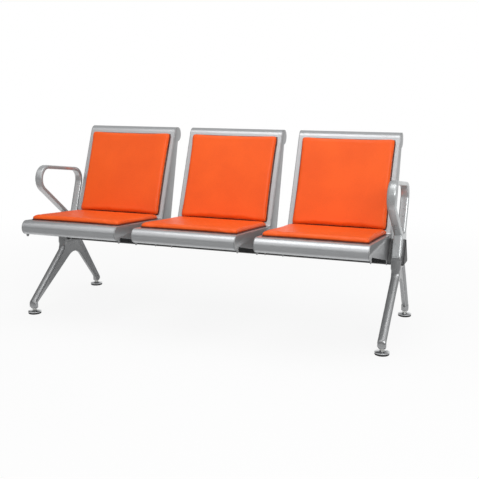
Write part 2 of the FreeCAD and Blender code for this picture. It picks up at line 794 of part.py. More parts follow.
def make_foot(side, end):
    """A rubber pad in a cup, and a stud that turns in the cup and screws into the leg."""
    across = f"{SIDES[side]} * {SUPPORT}"
    along = FRONT_FOOT if end == "front" else REAR_FOOT
    disc_top = "(rubber_high + run_play + stud_disc_high)"
    hex_low = "(cup_high + run_play)"

    rubber = new_body(f"foot_{end}_{side}_rubber", across)
    turn_about_upright(rubber, [
        ("0", "0"),
        ("rubber_wide / 2 - rubber_edge", "0"),
        ("rubber_wide / 2", "rubber_edge"),
        ("rubber_wide / 2", "rubber_high"),
        ("0", "rubber_high"),
    ])
    cup = new_body(f"foot_{end}_{side}_cup", across)
    turn_about_upright(cup, [
        ("cup_wide / 2", "cup_rim_low"),
        ("cup_wide / 2", "cup_rim_high"),
        ("cup_crown / 2", "cup_high"),
        ("stud_wide / 2 + run_play", "cup_high"),
        ("stud_wide / 2 + run_play", f"{disc_top} + run_play"),
        ("stud_disc / 2 + run_play", f"{disc_top} + run_play"),
        ("stud_disc / 2 + run_play", "rubber_high"),
        ("rubber_wide / 2 + fit_gap", "rubber_high"),
        ("rubber_wide / 2 + fit_gap", "cup_rim_low"),
    ])
    stud = new_body(f"foot_{end}_{side}_stud", across)
    turn_about_upright(stud, [
        ("0", "rubber_high + run_play"),
        ("stud_disc / 2", "rubber_high + run_play"),
        ("stud_disc / 2", disc_top),
        ("stud_wide / 2", disc_top),
        ("stud_wide / 2", f"{SPIGOT_LOW} + stud_grip"),
        ("0", f"{SPIGOT_LOW} + stud_grip"),
    ])
    flange = new_sketch(stud, "hexagon", "XY_Plane", hex_low)
    draw_hexagon(flange, "hex_flats")
    pad(stud, flange, "hex_high")
    nut = new_body(f"foot_{end}_{side}_lock_nut", across)
    outline = new_sketch(nut, "hexagon", "XY_Plane", f"{SPIGOT_LOW} - nut_high")
    draw_hexagon(outline, "hex_flats")
    draw_circles(outline, [("0", "0")], "stud_wide / 2 + run_play")
    pad(nut, outline, "nut_high")
    for body in (rubber, cup, stud, nut):
        bind(body, "Placement.Base.y", along)


make_beam()
for side in SIDES:
    make_end_cap(side)
    make_leg(side)
    make_armrest(side)
    make_armrest_bolts(side)
for number in SEATS:
    make_seat(number)
for side in SIDES:
    for end in FEET:
        make_foot(side, end)

document.recompute()

for item in document.Objects:
    if "Invalid" in item.State or "Error" in item.State:
        raise SystemExit(f"{item.Label} failed: {item.State}")
os.makedirs("parts", exist_ok=True)
for part in sub_parts:
    if part.Shape.isNull() or not part.Shape.isValid():
        raise SystemExit(f"{part.Label} has no valid shape")
for part in sub_parts:
    part.Shape.exportStep(f"parts/{part.Label}.step")
    box = part.Shape.BoundBox
    print(part.Label, len(part.Shape.Solids), "solids", round(part.Shape.Volume), "mm3",
          [round(edge, 1) for edge in (box.XMin, box.XMax, box.YMin, box.YMax, box.ZMin, box.ZMax)])
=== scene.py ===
import json
import math

import bmesh
import bpy
from mathutils import Euler, Matrix, Vector, noise


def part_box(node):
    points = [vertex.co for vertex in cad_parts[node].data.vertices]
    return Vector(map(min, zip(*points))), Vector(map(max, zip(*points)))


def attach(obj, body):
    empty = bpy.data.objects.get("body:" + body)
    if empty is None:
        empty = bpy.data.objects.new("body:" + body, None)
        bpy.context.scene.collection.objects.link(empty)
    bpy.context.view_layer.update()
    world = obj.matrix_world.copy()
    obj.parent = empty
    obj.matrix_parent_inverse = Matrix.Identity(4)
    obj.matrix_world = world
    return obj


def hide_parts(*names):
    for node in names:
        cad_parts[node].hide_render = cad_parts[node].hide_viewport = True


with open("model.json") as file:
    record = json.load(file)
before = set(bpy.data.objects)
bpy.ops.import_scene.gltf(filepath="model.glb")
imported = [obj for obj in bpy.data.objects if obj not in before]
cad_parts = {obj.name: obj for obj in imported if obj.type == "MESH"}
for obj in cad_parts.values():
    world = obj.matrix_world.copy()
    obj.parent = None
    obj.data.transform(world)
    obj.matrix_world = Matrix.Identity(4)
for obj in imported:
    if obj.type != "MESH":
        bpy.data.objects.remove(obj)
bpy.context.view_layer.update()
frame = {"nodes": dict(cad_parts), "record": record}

MM = 0.001
SEATS = (1, 2, 3)
SIDES = {"left": -1, "right": 1}
FEET = ("front", "rear")

# Camera: its place and turns, and its focal length in pixels of the square image

IMAGE_SIDE = 479
CAMERA_FOCAL = 801.19
CAMERA_PLACE = Vector((1275.14, -3112.68, 1033.33)) * MM
CAMERA_TURN = math.radians(20.45)
CAMERA_DOWN = math.radians(11.56)
SENSOR = 36.0


def link(obj):
    bpy.context.scene.collection.objects.link(obj)
    return obj


def make_camera():
    data = bpy.data.cameras.new("camera")
    data.sensor_width = SENSOR
    data.lens = CAMERA_FOCAL / IMAGE_SIDE * SENSOR
    camera = link(bpy.data.objects.new("camera", data))
    camera.location = CAMERA_PLACE
    camera.rotation_euler = Euler((math.pi / 2 - CAMERA_DOWN, 0, CAMERA_TURN))
    bpy.context.scene.camera = camera


# Shader nodes


def add(tree, kind, inputs=None, **settings):
    """A shader node, its settings, and its inputs set to a value or linked to a socket."""
    item = tree.nodes.new(kind)
    for name, setting in settings.items():
        setattr(item, name, setting)
    for name, given in (inputs or {}).items():
        if isinstance(given, bpy.types.NodeSocket):
            tree.links.new(given, item.inputs[name])
        else:
            item.inputs[name].default_value = given
    return item


def either(tree, first, second):
    """1 where one of two yes-or-no values is 1."""
    return add(tree, "ShaderNodeMath", {0: first, 1: second}, operation="MAXIMUM").outputs[0]


def seen_directly(tree):
    """1 for what the camera, gloss and glass see, 0 for light that falls on things."""
    path = add(tree, "ShaderNodeLightPath").outputs
    gloss = either(tree, path["Is Camera Ray"], path["Is Glossy Ray"])
    return either(tree, gloss, path["Is Transmission Ray"])


def mixed(tree, share, first, second):
    """The output of two shaders mixed, with a share of the second."""
    return add(tree, "ShaderNodeMixShader", {"Fac": share, 1: first, 2: second}).outputs[0]


def empty_material(name):
    material = bpy.data.materials.new(name)
    material.use_nodes = True
    material.node_tree.nodes.clear()
    return material


# Lamps, background and floor

WHITE = (1, 1, 1, 1)
SOFT_LIGHT = 0.52
FLOOR_REACH = 9
FLOOR_COLOUR = (0.86, 0.86, 0.86, 1)
SHADOW_KEPT = 0.12
SHADOW_WHOLE = 1.0
SHADOW_GONE = 3.0


def make_lamp(name, place, target, size, watts):
    data = bpy.data.lights.new(name, "AREA")
    data.shape = "RECTANGLE"
    data.size, data.size_y = size
    data.energy = watts
    lamp = link(bpy.data.objects.new(name, data))
    lamp.location = place
    lamp.rotation_euler = (Vector(target) - Vector(place)).to_track_quat("-Z", "Y").to_euler()


def make_world():
    """Soft light from all round, before a plain white background."""
    world = bpy.data.worlds.new("studio")
    bpy.context.scene.world = world
    world.use_nodes = True
    tree = world.node_tree
    tree.nodes.clear()
    soft = add(tree, "ShaderNodeBackground", {"Color": WHITE, "Strength": SOFT_LIGHT}).outputs[0]
    plain = add(tree, "ShaderNodeBackground", {"Color": WHITE, "Strength": 1}).outputs[0]
    add(tree, "ShaderNodeOutputWorld", {"Surface": mixed(tree, seen_directly(tree), soft, plain)})


def make_floor():
    """A white floor that keeps a pale shadow near the bench and fades into the background."""
    mesh = bpy.data.meshes.new("floor")
    reach = FLOOR_REACH
    corners = [(-reach, -reach, 0), (reach, -reach, 0), (reach, reach, 0), (-reach, reach, 0)]
    mesh.from_pydata(corners, [], [(0, 1, 2, 3)])
    floor = link(bpy.data.objects.new("floor", mesh))
    material = empty_material("floor")
    tree = material.node_tree
    place = add(tree, "ShaderNodeTexCoord").outputs["Object"]
    away = add(tree, "ShaderNodeVectorMath", {0: place}, operation="LENGTH").outputs["Value"]
    fade = {"Value": away, "From Min": SHADOW_WHOLE, "From Max": SHADOW_GONE,
            "To Min": SHADOW_KEPT, "To Max": 0.0}
    near = add(tree, "ShaderNodeMapRange", fade, interpolation_type="SMOOTHSTEP").outputs[0]
    matt = add(tree, "ShaderNodeBsdfDiffuse", {"Color": FLOOR_COLOUR}).outputs[0]
    white = add(tree, "ShaderNodeEmission", {"Color": WHITE, "Strength": 1}).outputs[0]
    faded = mixed(tree, near, white, matt)
    add(tree, "ShaderNodeOutputMaterial", {"Surface": mixed(tree, seen_directly(tree), matt, faded)})
    mesh.materials.append(material)


# Grey cards, which stand for the room that the silver and chrome mirror

ROOM_WIDE = 7
ROOM_FRONT = -5.2
WALL_BACK = 3.5
WALL_FOOT = 0.05
BETWEEN_PLACE = 0.742


def make_card(name, corners, grey):
    """A grey card that only gloss shows: the camera, matt faces and shadows miss it."""
    mesh = bpy.data.meshes.new(name)
    mesh.from_pydata(corners, [], [(0, 1, 2, 3)])
    card = link(bpy.data.objects.new(name, mesh))
    material = empty_material(name)
    tree = material.node_tree
    glow = add(tree, "ShaderNodeEmission", {"Color": (grey, grey, grey, 1), "Strength": 1}).outputs[0]
    add(tree, "ShaderNodeOutputMaterial", {"Surface": glow})
    mesh.materials.append(material)
    card.visible_camera = False
    card.visible_diffuse = False
    card.visible_shadow = False
    card.visible_transmission = False


def wide_card(name, grey, x, y, z):
    """A card whose first and second edge run along x, at the first and second y and z."""
    (left, right), (near, far), (start, end) = x, y, z
    make_card(name, [(left, near, start), (right, near, start), (right, far, end), (left, far, end)], grey)


def side_card(name, grey, x, y, z):
    """An upright card that faces along x."""
    (start, end), (low, high) = y, z
    make_card(name, [(x, start, low), (x, end, low), (x, end, high), (x, start, high)], grey)


def make_cards():
    wide_card("room", 0.20, x=(-ROOM_WIDE, ROOM_WIDE), y=(ROOM_FRONT, ROOM_FRONT), z=(WALL_FOOT, 2.3))
    side_card("left", 0.22, x=-4.5, y=(WALL_BACK, ROOM_FRONT), z=(WALL_FOOT, 4.2))
    side_card("right", 0.50, x=5.0, y=(ROOM_FRONT, WALL_BACK), z=(WALL_FOOT, 3.4))
    wide_card("mat", 0.40, x=(-0.74, 0.25), y=(0.12, 1.4), z=(0.012, 0.012))
    wide_card("carpet", 0.36, x=(-ROOM_WIDE, ROOM_WIDE), y=(ROOM_FRONT, -0.36), z=(0.01, 0.01))
    for side, sign in SIDES.items():
        side_card(f"between_{side}", 0.24, x=sign * BETWEEN_PLACE, y=(-0.34, 0.07), z=(0.40, 0.78))
    wide_card("cove", 0.42, x=(-2.4, 2.4), y=(0.08, 1.6), z=(1.45, 1.45))
    wide_card("roof", 0.26, x=(-4.6, -2.0), y=(-0.35, 0.9), z=(3.0, 3.0))
    wide_card("ceiling", 0.45, x=(-6, 6), y=(0.9, 6.5), z=(4.4, 3.2))


make_camera()
make_world()
make_floor()
make_lamp("key", place=(2.6, -3.2, 2.6), target=(0.1, 0, 0.45), size=(2.4, 1.8), watts=62)
make_lamp("overhead", place=(0.2, -0.2, 3.0), target=(0, 0, 0.4), size=(3.4, 1.8), watts=36)
make_cards()
bpy.context.scene.view_settings.view_transform = "Standard"

# Materials


def new_material(name):
    """A material with its tree, its main shader and the place on the object."""
    material = empty_material(name)
    tree = material.node_tree
    shader = add(tree, "ShaderNodeBsdfPrincipled")
    add(tree, "ShaderNodeOutputMaterial", {"Surface": shader.outputs[0]})
    place = add(tree, "ShaderNodeTexCoord").outputs["Object"]
    return material, tree, shader, place


def speckle(tree, place, scale, detail, rough=0.5):
    """Cloudy noise from 0 to 1, finer with a larger scale."""
    inputs = {"Vector": place, "Scale": scale, "Detail": detail, "Roughness": rough}
    return add(tree, "ShaderNodeTexNoise", inputs).outputs["Fac"]


def spread(tree, value, low, high, start=0.3, end=0.7):
    """A value from start to end laid out from low to high."""
    inputs = {"Value": value, "From Min": start, "From Max": end, "To Min": low, "To Max": high}
    return add(tree, "ShaderNodeMapRange", inputs).outputs[0]


def stretched(tree, place, scale):
    """Places scaled along each axis, so that marks on them are longest where the scale is smallest."""
    return add(tree, "ShaderNodeMapping", {"Vector": place, "Scale": scale}).outputs[0]


def blend(tree, share, first, second):
    """Two colours mixed, with a share of the second."""
    mix = add(tree, "ShaderNodeMix", data_type="RGBA")
    for socket, given in ((mix.inputs[0], share), (mix.inputs[6], first), (mix.inputs[7], second)):
        if isinstance(given, bpy.types.NodeSocket):
            tree.links.new(given, socket)
        else:
            socket.default_value = given
    return mix.outputs[2]


def scaled(colour, factor):
    """A colour made darker or brighter."""
    return (*[min(channel * factor, 1.0) for channel in colour[:3]], 1)


def bumped(tree, shader, layers):
    """Height layers (value, depth in metres) one over the other."""
    normal = None
    for height, depth in layers:
        inputs = {"Height": height, "Distance": depth, "Strength": 1.0}
        if normal:
            inputs["Normal"] = normal
        normal = add(tree, "ShaderNodeBump", inputs).outputs[0]
    tree.links.new(normal, shader.inputs["Normal"])


def painted(name, colour, metallic, rough, peel=0.03 * MM, flake=0.10, gloss=0.5):
    """Powder coat: fine metal flake, orange peel and faint cloudiness."""
    material, tree, shader, place = new_material(name)
    cloud = spread(tree, speckle(tree, place, scale=9, detail=3), low=0.0, high=1.0)
    dust = speckle(tree, place, scale=2600, detail=1)
    flakes = spread(tree, dust, low=0.0, high=1.0, start=0.35, end=0.65)
    wear = spread(tree, speckle(tree, place, scale=45, detail=4), low=rough - 0.05, high=rough + 0.06)
    orange_peel = speckle(tree, place, scale=520, detail=1)
    tone = blend(tree, cloud, scaled(colour, 0.95), scaled(colour, 1.05))
    glitter = blend(tree, flakes, scaled(colour, 1 - flake), scaled(colour, 1 + flake))
    tree.links.new(blend(tree, 0.5, tone, glitter), shader.inputs["Base Color"])
    tree.links.new(wear, shader.inputs["Roughness"])
    shader.inputs["Metallic"].default_value = metallic
    shader.inputs["Specular IOR Level"].default_value = gloss
    bumped(tree, shader, [(orange_peel, peel), (flakes, peel / 4)])
    return material


def plated(name, colour, rough, grain=(1, 1, 1)):
    """Plated steel with fine drawn marks, and small stains."""
    material, tree, shader, place = new_material(name)
    marks = speckle(tree, stretched(tree, place, grain), scale=900, detail=3)
    wear = spread(tree, marks, low=rough * 0.7, high=rough * 1.4)
    spots = speckle(tree, place, scale=120, detail=4)
    stains = spread(tree, spots, low=0.0, high=1.0, start=0.4, end=0.75)
    tree.links.new(blend(tree, stains, colour, scaled(colour, 0.82)), shader.inputs["Base Color"])
    tree.links.new(wear, shader.inputs["Roughness"])
    shader.inputs["Metallic"].default_value = 1.0
    bumped(tree, shader, [(marks, 0.01 * MM)])
    return material


def moulded(name, colour, rough, grain, depth):
    """Rubber or moulded plastic with a fine eroded grain and grey scuffs."""
    material, tree, shader, place = new_material(name)
    marks = speckle(tree, place, scale=70, detail=5, rough=0.65)
    scuffs = spread(tree, marks, low=0.0, high=0.5, start=0.52, end=0.8)
    wear = spread(tree, scuffs, low=rough, high=rough + 0.15, start=0, end=0.5)
    tree.links.new(blend(tree, scuffs, colour, scaled(colour, 2.4)), shader.inputs["Base Color"])
    tree.links.new(wear, shader.inputs["Roughness"])
    bumped(tree, shader, [(speckle(tree, place, scale=grain, detail=3), depth)])
    return material


def plywood(name, pale, dark):
    """Plywood with wavy growth rings along x."""
    material, tree, shader, place = new_material(name)
    inputs = {"Vector": stretched(tree, place, (1, 12, 12)), "Scale": 6, "Distortion": 7, "Detail": 4}
    rings = add(tree, "ShaderNodeTexWave", inputs).outputs["Fac"]
    tree.links.new(blend(tree, rings, dark, pale), shader.inputs["Base Color"])
    shader.inputs["Roughness"].default_value = 0.7
    bumped(tree, shader, [(rings, 0.1 * MM)])
    return material


def artificial_leather(name, deep, bright, crease, foot_shade_colour):
    """Coated cloth: pebbled grain, faint stretch marks, and painted shade that makes it darker at the foot
    of the pad.
    """
    material, tree, shader, place = new_material(name)
    pebbles = {"Vector": place, "Scale": 620, "Randomness": 1.0}
    cells = add(tree, "ShaderNodeTexVoronoi", pebbles, feature="SMOOTH_F1").outputs["Distance"]
    pores = speckle(tree, place, scale=1500, detail=2)
    cloud = spread(tree, speckle(tree, place, scale=7, detail=3), low=0.0, high=1.0)
    stretch = speckle(tree, place, scale=28, detail=3)
    wear = spread(tree, speckle(tree, place, scale=60, detail=4), low=0.38, high=0.50)
    grain = spread(tree, cells, low=0.0, high=0.22, start=0.35, end=0.75)
    tone = blend(tree, grain, blend(tree, cloud, deep, bright), crease)
    # The last colour is painted shade, mixed in by each point's mark for the foot of the pad
    foot_shade = add(tree, "ShaderNodeAttribute", attribute_name="foot_shade").outputs["Fac"]
    tree.links.new(blend(tree, foot_shade, tone, foot_shade_colour), shader.inputs["Base Color"])
    tree.links.new(wear, shader.inputs["Roughness"])
    shader.inputs["Specular IOR Level"].default_value = 0.32
    bumped(tree, shader, [(stretch, 0.5 * MM), (cells, -0.07 * MM), (pores, 0.02 * MM)])
    return material


SILVER = painted("silver_coat", (0.50, 0.51, 0.52, 1), metallic=0.70, rough=0.34)
# The side plates' coat is the sheet's silver made darker: painted shade
SHADED_PLATE_SILVER = painted("plate_coat_shaded", (0.36, 0.365, 0.37, 1), metallic=0.60, rough=0.40)
# The legs' casting coat is darker than the armrests' coat of the same casting paint: painted shade
SHADED_CAST_SILVER = painted("casting_coat_shaded", (0.33, 0.335, 0.34, 1), metallic=0.70, rough=0.30,
                      peel=0.01 * MM, flake=0.06)
ARM_SILVER = painted("armrest_coat", (0.52, 0.535, 0.54, 1), metallic=0.58, rough=0.30,
                     peel=0.006 * MM, flake=0.05)
BLACK = painted("black_coat", (0.022, 0.022, 0.023, 1), metallic=0.0, rough=0.30, gloss=1.0)
ZINC = plated("zinc", (0.62, 0.62, 0.60, 1), rough=0.32)
CHROME = plated("chrome", (0.60, 0.61, 0.62, 1), rough=0.09, grain=(0.2, 0.2, 3))
CAP_PLASTIC = moulded("cap_plastic", (0.016, 0.016, 0.017, 1), rough=0.5, grain=1400, depth=0.04 * MM)
RUBBER = moulded("rubber", (0.020, 0.020, 0.020, 1), rough=0.7, grain=700, depth=0.08 * MM)
PLYWOOD = plywood("plywood", pale=(0.66, 0.48, 0.28, 1), dark=(0.50, 0.33, 0.17, 1))
# The cover's last colour, a near black red, is painted shade for the foot of the pads and the sewn edge
COVER = artificial_leather("cover", deep=(0.88, 0.106, 0.007, 1), bright=(0.96, 0.124, 0.009, 1),
                           crease=(0.60, 0.045, 0.008, 1), foot_shade_colour=(0.11, 0.018, 0.007, 1))

FINISHES = {
    "sheet_paint": SILVER,
    "plate_paint": SHADED_PLATE_SILVER,
    "cast_paint": SHADED_CAST_SILVER,
    "beam_paint": BLACK,
    "clamp_paint": BLACK,
    "cap_plastic": CAP_PLASTIC,
    "cover": COVER,
    "board": PLYWOOD,
    "zinc": ZINC,
    "chrome": CHROME,
    "rubber": RUBBER,
}

SLOTS = {entry["node"]: entry["material_slot"] for entry in frame["record"]["subparts"]}
NODE_BODY = {node: body for body, nodes in frame["record"]["behaviour"]["bodies"].items() for node in nodes}
for node, obj in frame["nodes"].items():
    for material_slot in obj.material_slots:
        material_slot.material = FINISHES[SLOTS[node]]

# Pieces that take a node's place

WELD = 0.02 * MM
FLAT = math.radians(0.4)
SHARP = math.radians(38)


def copied(node, name):
    """A CAD node's mesh as a new piece, with its flat faces whole again."""
    mesh = frame["nodes"][node].data.copy()
    mesh.name = name
    work = bmesh.new()
    work.from_mesh(mesh)
    bmesh.ops.remove_doubles(work, verts=work.verts, dist=WELD)
    bmesh.ops.dissolve_limit(work, angle_limit=FLAT, verts=work.verts, edges=work.edges)
    work.to_mesh(mesh)
    work.free()
    return link(bpy.data.objects.new(name, mesh))


def take_over(piece, node, material=None):
    """The piece stands for a CAD node, on the same body, and has its finish unless one is given."""
    piece.data.materials.clear()
    piece.data.materials.append(material or FINISHES[SLOTS[node]])
    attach(piece, NODE_BODY[node])
    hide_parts(node)


def apply_modifiers(piece):
    depsgraph = bpy.context.evaluated_depsgraph_get()
    mesh = bpy.data.meshes.new_from_object(piece.evaluated_get(depsgraph), depsgraph=depsgraph)
    piece.modifiers.clear()
    piece.data = mesh


def remeshed(piece, voxel):
    """Lay an even skin over the piece, made of voxels of one size."""
    remesh = piece.modifiers.new("voxels", "REMESH")
    remesh.mode = "VOXEL"
    remesh.voxel_size = voxel


def shade_smooth(piece):
    mesh = piece.data
    mesh.polygons.foreach_set("use_smooth", [True] * len(mesh.polygons))


def break_edges(piece, width):
    """Bevel the piece's sharp edges and leave its flat faces flat."""
    bevel = piece.modifiers.new("edges", "BEVEL")
    bevel.width = width
    bevel.segments = 2
    bevel.limit_method = "ANGLE"
    bevel.angle_limit = SHARP
    bevel.harden_normals = True
    shade_smooth(piece)
    apply_modifiers(piece)


def edge_rounded(node, width):
    """A node with its sharp edges broken."""
    piece = copied(node, node + "_finished")
    break_edges(piece, width)
    take_over(piece, node)


# Castings

CAST_VOXEL = 1.6 * MM
CAST_ROUNDS = 22
# Places on a leg's side, as depth and height
NECK = Vector((12, 250)) * MM
ANKLE = Vector((-239, 56)) * MM
SHIN_WAY = (NECK - ANKLE).normalized()
SHIN_HALF = 17.5 * MM
SHIN_CROWN = 4.5 * MM
CROWN_DEEP = 11 * MM
# Shares of the shin's length that the crown reaches past it, and fades out over
SHIN_SPARE = 0.1
SHIN_FADE = 0.14
LEG_LOW, LEG_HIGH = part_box("leg_right")
SUPPORT = (LEG_LOW.x + LEG_HIGH.x) / 2
HEAD_HALF = (LEG_HIGH.x - LEG_LOW.x) / 2
HEAD_RISE = 60 * MM
HEAD_LEAN = 5 * MM
NECK_FADE = 12 * MM


def cast(node, material=None, shape=None):
    """A node as a casting, its inner and outer corners softened."""
    piece = copied(node, node + "_casting")
    remeshed(piece, CAST_VOXEL)
    smooth = piece.modifiers.new("smooth", "SMOOTH")
    smooth.factor = 0.5
    smooth.iterations = CAST_ROUNDS
    apply_modifiers(piece)
    if shape:
        for vertex in piece.data.vertices:
            shape(vertex.co)
    shade_smooth(piece)
    take_over(piece, node, material)


def crown(spot, half):
    """How far a front that is rounded across its width falls back at a point."""
    across = min(1.0, abs(abs(spot.x) - SUPPORT) / half)
    return SHIN_CROWN * across ** 2


def crowned_head(spot):
    """Round the front of a leg's head, and lean it back towards its top."""
    above = spot.z - NECK.y
    move = crown(spot, HEAD_HALF) * min(1.0, above / NECK_FADE)
    move += HEAD_LEAN * min(1.0, above / HEAD_RISE) ** 2
    spot.y += move * (1 - abs(spot.y - NECK.x) / CROWN_DEEP)


def crowned_shin(spot):
    """Round the front of a leg's shin, and less and less of what lies behind it."""
    level = Vector((spot.y, spot.z)) - ANKLE
    along = level.dot(SHIN_WAY) / (NECK - ANKLE).length
    depth = SHIN_WAY.x * -level.y + SHIN_WAY.y * level.x
    if -SHIN_SPARE < along < 1 + SHIN_SPARE and abs(depth) <= CROWN_DEEP:
        fade = min(1.0, (along + SHIN_SPARE) / SHIN_FADE, (1 + SHIN_SPARE - along) / SHIN_FADE)
        move = crown(spot, SHIN_HALF) * fade * (1 - abs(depth) / CROWN_DEEP)
        spot.y += move * SHIN_WAY.y
        spot.z -= move * SHIN_WAY.x


def crowned(spot):
    """Round the front of a leg across its width at a point of its skin."""
    if spot.z > NECK.y and abs(spot.y - NECK.x) < CROWN_DEEP:
        crowned_head(spot)
    else:
        crowned_shin(spot)


# Bolts and screws


def islands(work):
    """The connected groups of vertices of a mesh."""
    left = set(work.verts)
    for first in work.verts:
        if first not in left:
            continue
        left.remove(first)
        group = []
        front = [first]
        while front:
            vertex = front.pop()
            group.append(vertex)
            for edge in vertex.link_edges:
                other = edge.other_vert(vertex)
                if other in left:
                    left.remove(other)
                    front.append(other)
        yield group


def prism(work, place, outline, low, high):
    """A closed prism on an outline, with the matrix of its place."""
    rings = [[work.verts.new(place @ Vector((x, y, z))) for x, y in outline] for z in (low, high)]
    count = len(outline)
    for index in range(count):
        follower = (index + 1) % count
        work.faces.new((rings[0][index], rings[0][follower], rings[1][follower], rings[1][index]))
    work.faces.new(list(reversed(rings[0])))
    work.faces.new(rings[1])


def hexagon(flats):
    """The corners of a hexagon, from its width across flats."""
    reach = flats / math.sqrt(3)
    turns = [math.radians(60 * corner) for corner in range(6)]
    return [(reach * math.cos(turn), reach * math.sin(turn)) for turn in turns]


def cross(long, wide):
    """The corners of a cross, from the length and width of its bars."""
    near, far = wide / 2, long / 2
    return [(far, -near), (far, near), (near, near), (near, far), (-near, far), (-near, near),
            (-far, near), (-far, -near), (-near, -near), (-near, -far), (near, -far), (near, -near)]


# How far points may lie behind a head's face, and how far the cutter stands out of it
HEAD_FACE = 0.1 * MM
CUTTER_SPARE = 1 * MM
# The recess in each kind of head, and the width of its broken edges
ARMREST_HEAD = {"outline": hexagon(5 * MM), "depth": 2.6 * MM, "edge": 0.5 * MM}
CLAMP_HEAD = {"outline": hexagon(6 * MM), "depth": 3.2 * MM, "edge": 0.6 * MM}
SCREW_HEAD = {"outline": cross(5.4 * MM, 1.1 * MM), "depth": 1.4 * MM, "edge": 0.35 * MM}

SEAT_SLOPE = math.radians(5.2)
BACK_RECLINE = math.radians(22.3)
SEAT_TURN = Matrix.Rotation(-SEAT_SLOPE, 3, "X")
BACK_TURN = Matrix.Rotation(math.pi / 2 - BACK_RECLINE, 3, "X")
SEAT_END = 90 * MM


def upwards(middle):
    """Up, at any point."""
    return Vector((0, 0, 1))


def off_the_sheet(middle):
    """Away from the seat or the back, whichever the point is at."""
    return (SEAT_TURN if middle.y < SEAT_END else BACK_TURN) @ Vector((0, 0, 1))


def recess_cutter(piece, outline, depth, way):
    """A tool with a prism in the face of each fastener's head."""
    source = bmesh.new()
    source.from_mesh(piece.data)
    cutter = bmesh.new()
    for group in islands(source):
        middle = sum((vertex.co for vertex in group), Vector()) / len(group)
        axis = way(middle)
        lowest = min(vertex.co.dot(axis) for vertex in group)
        ring = [vertex.co for vertex in group if vertex.co.dot(axis) < lowest + HEAD_FACE]
        centre = sum(ring, Vector()) / len(ring)
        place = Matrix.Translation(centre) @ axis.to_track_quat("Z", "X").to_matrix().to_4x4()
        prism(cutter, place, outline, -CUTTER_SPARE, depth)
    source.free()
    bmesh.ops.recalc_face_normals(cutter, faces=cutter.faces)
    mesh = bpy.data.meshes.new("cutter")
    cutter.to_mesh(mesh)
    cutter.free()
    return link(bpy.data.objects.new("cutter", mesh))


def driven(node, head, way):
    """Fasteners with a recess for the driver in each head; way gives a shank's direction at a point."""
    piece = copied(node, node + "_finished")
    tool = recess_cutter(piece, head["outline"], head["depth"], way)
    cut = piece.modifiers.new("recess", "BOOLEAN")
    cut.operation = "DIFFERENCE"
    cut.solver = "EXACT"
    cut.object = tool
    apply_modifiers(piece)
    bpy.data.objects.remove(tool)
    break_edges(piece, head["edge"])
    take_over(piece, node)


# Dressing of the metal: the widths of the broken edges by kind of piece

CAP_EDGE = 1.2 * MM
FOOT_EDGES = {"lock_nut": 0.6 * MM, "stud": 0.6 * MM, "cup": 1.0 * MM}
PLATE_EDGE = 0.9 * MM
CLAMP_EDGE = 0.8 * MM

for side in SIDES:
    cast(f"leg_{side}", shape=crowned)
    cast(f"armrest_{side}", ARM_SILVER)
    driven(f"armrest_bolts_{side}", ARMREST_HEAD, upwards)
    edge_rounded(f"beam_end_cap_{side}", CAP_EDGE)
    for end in FEET:
        for kind, width in FOOT_EDGES.items():
            edge_rounded(f"foot_{end}_{side}_{kind}", width)
for number in SEATS:
    driven(f"seat_{number}_clamp_bolts", CLAMP_HEAD, upwards)
    driven(f"seat_{number}_cushion_screws", SCREW_HEAD, off_the_sheet)
    for side in SIDES:
        edge_rounded(f"seat_{number}_side_plate_{side}", PLATE_EDGE)
        edge_rounded(f"seat_{number}_clamp_{side}", CLAMP_EDGE)

# Shape of the upholstered pads, each in the frame of its board's underside

PAD_THICK = 22 * MM
BOARD_THICK = 6 * MM
PADS = {
    "seat": {"size": (416 * MM, 376 * MM), "turn": SEAT_TURN, "seed": 0},
    "back": {"size": (403 * MM, 388 * MM), "turn": BACK_TURN, "seed": 7.7},
}
SEED_STEP = 3.1
PAD_CORNER = 8 * MM
CORNER_GROWTH = 0.25
PAD_DRAW = 2.5 * MM
PAD_VOXEL = 4.5 * MM
RING_POINTS = 144
# Millimetres in from the widest outline and up from the sheet, from the recess over the edge to the crown
PAD_PROFILE = (
    (11.0, 6.6), (10.0, 0.4), (6.0, 0.3), (3.6, 1.0), (2.6, 3.0), (1.9, 6.0), (1.8, 9.5), (2.6, 12.8),
    (4.8, 15.6), (8.6, 17.8), (14.0, 19.3), (24.0, 20.3), (40.0, 20.8), (65.0, 21.0), (100.0, 21.0),
    (135.0, 21.0),
)


def inset(spot, size):
    """How far a point is inside the pad's widest outline."""
    return min(size[0] / 2 - abs(spot.x), size[1] / 2 - abs(spot.y))


def pad_outline(width, length, inward):
    """Points around a pad: rounded corners, and sides that pull in a little between them."""
    half = Vector((width / 2 - inward, length / 2 - inward))
    corner = PAD_CORNER + inward * CORNER_GROWTH
    straight_x, straight_y = half.x - corner, half.y - corner
    points = []
    for index in range(RING_POINTS):
        turn = 2 * math.pi * (index + 0.5) / RING_POINTS
        way = Vector((math.cos(turn), math.sin(turn)))
        spot = way * (1 / max(abs(way.x) / half.x, abs(way.y) / half.y))
        if abs(spot.x) > straight_x and abs(spot.y) > straight_y:
            centre = Vector((math.copysign(straight_x, spot.x), math.copysign(straight_y, spot.y)))
            spot = centre + (spot - centre).normalized() * corner
        draw = PAD_DRAW * (1 - min(abs(spot.x) / half.x, abs(spot.y) / half.y) ** 2)
        if abs(way.x) / half.x > abs(way.y) / half.y:
            spot.x -= math.copysign(draw, spot.x)
        else:
            spot.y -= math.copysign(draw, spot.y)
        points.append(spot)
    return points


